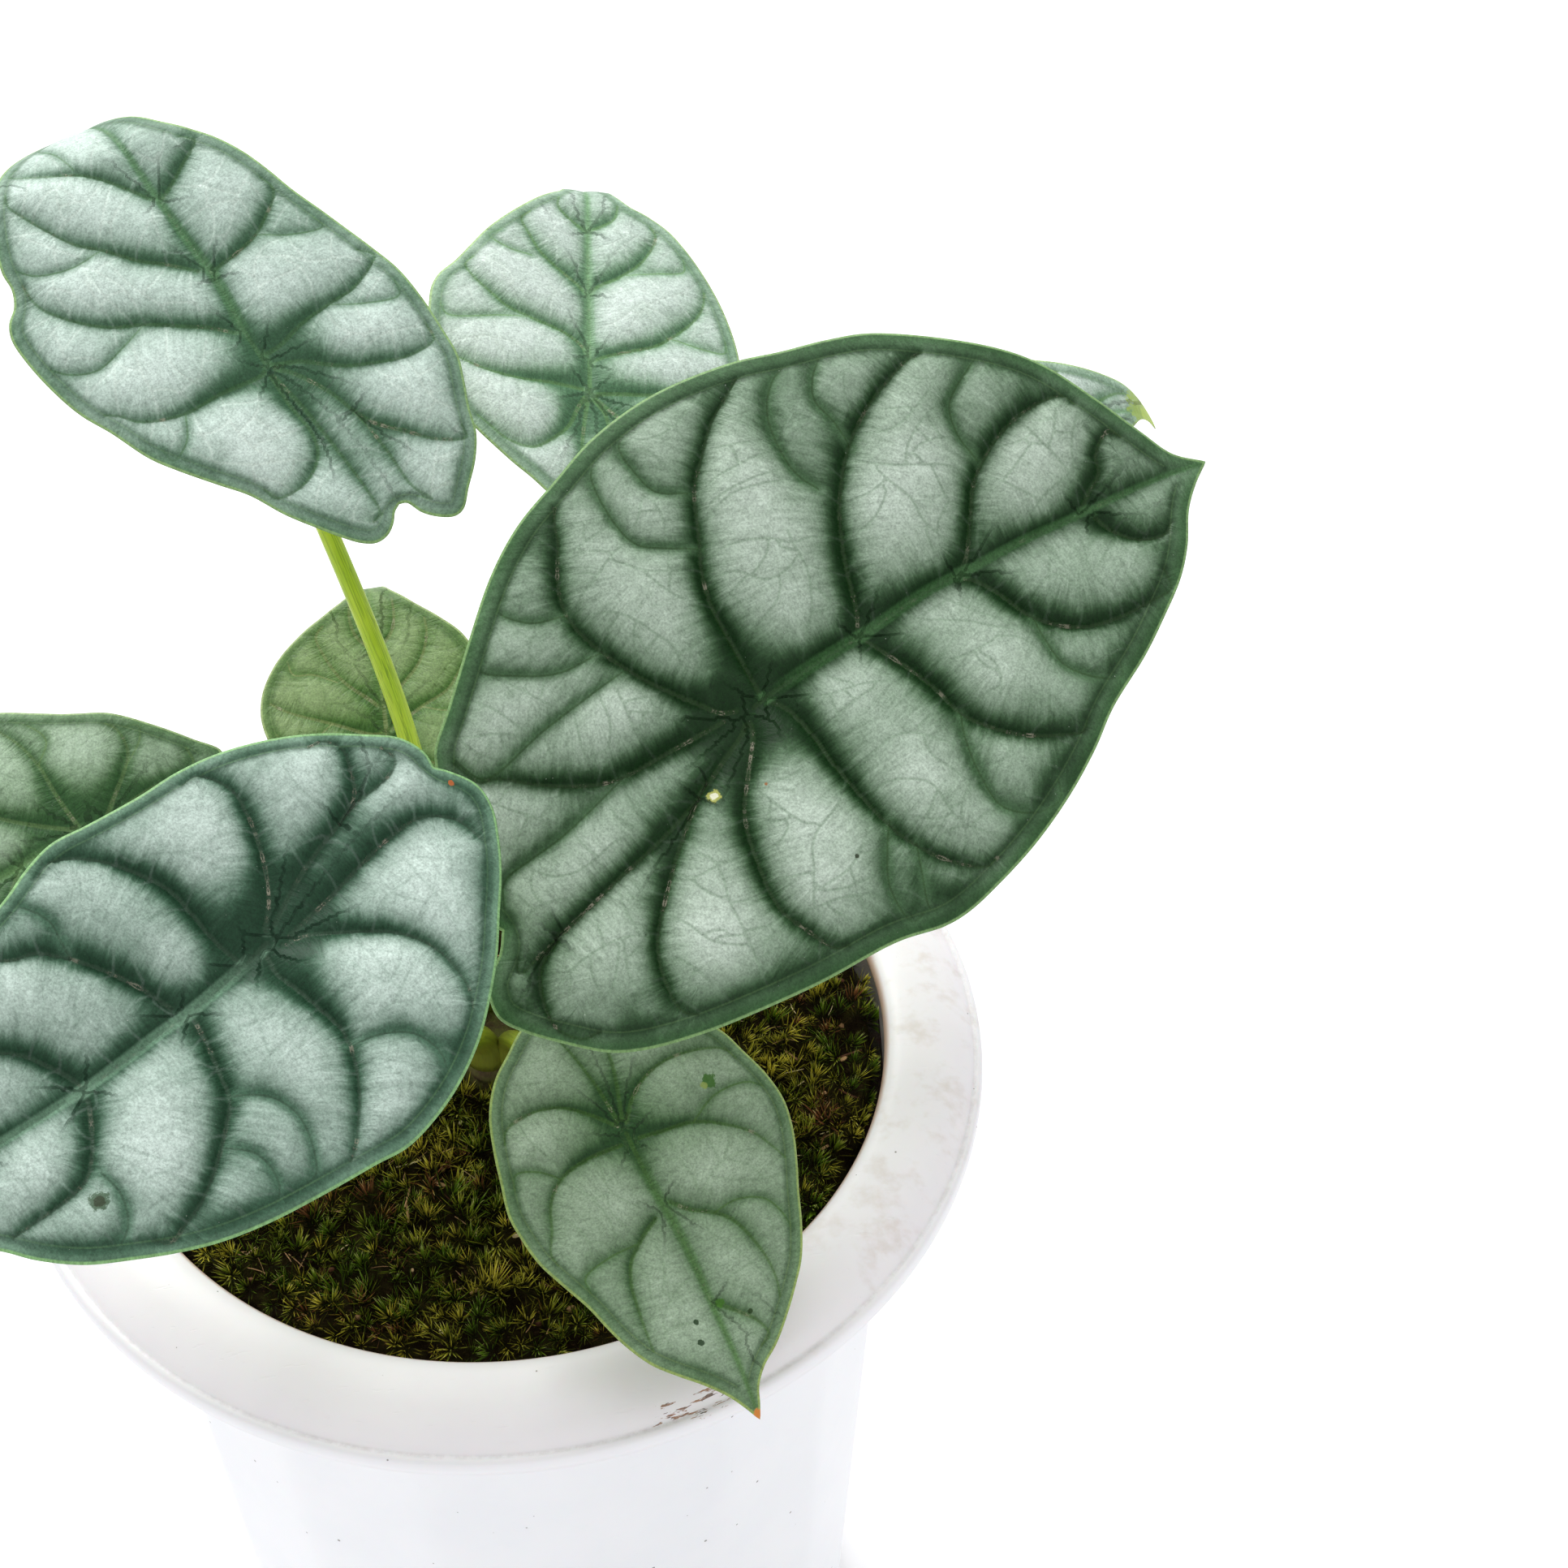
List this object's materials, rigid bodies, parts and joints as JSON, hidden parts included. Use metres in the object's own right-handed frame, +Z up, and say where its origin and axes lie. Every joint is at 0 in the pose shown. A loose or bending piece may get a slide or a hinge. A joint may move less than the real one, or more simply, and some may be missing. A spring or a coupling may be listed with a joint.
{
  "type": "potted silver dragon alocasia",
  "caption": "Aroid house plant with silvery, dark-veined shield leaves on long stalks, growing from moss in a plain pot with a wide rolled rim.",
  "frame": {"origin": "middle of the pot's foot, on the surface that the pot stands on", "axes": "+Z up along the pot's axis, -Y towards the viewer of the picture, +X to the viewer's right"},
  "size_m": [0.297, 0.263, 0.3967],
  "materials": {
    "pot": "satin",
    "potting_mix": "matte",
    "moss": "matte",
    "blade": "satin",
    "stalk": "satin",
    "crown": "matte",
    "dry_sheath": "matte"
  },
  "bodies": {
    "root": {"pot": "pot", "potting_mix": "potting_mix", "moss_cushion": "moss", "crown": "crown", "dry_sheath_1": "dry_sheath", "dry_sheath_2": "dry_sheath", "leaf_blade_right_front": "blade", "leaf_stalk_right_front": "stalk", "leaf_blade_left_front": "blade", "leaf_stalk_left_front": "stalk", "leaf_blade_left_back": "blade", "leaf_stalk_left_back": "stalk", "leaf_blade_middle_back": "blade", "leaf_stalk_middle_back": "stalk", "leaf_blade_low_front": "blade", "leaf_stalk_low_front": "stalk", "leaf_blade_far_left": "blade", "leaf_stalk_far_left": "stalk", "leaf_blade_low_back": "blade", "leaf_stalk_low_back": "stalk", "leaf_blade_right_back": "blade", "leaf_stalk_right_back": "stalk"}
  },
  "joints": []
}
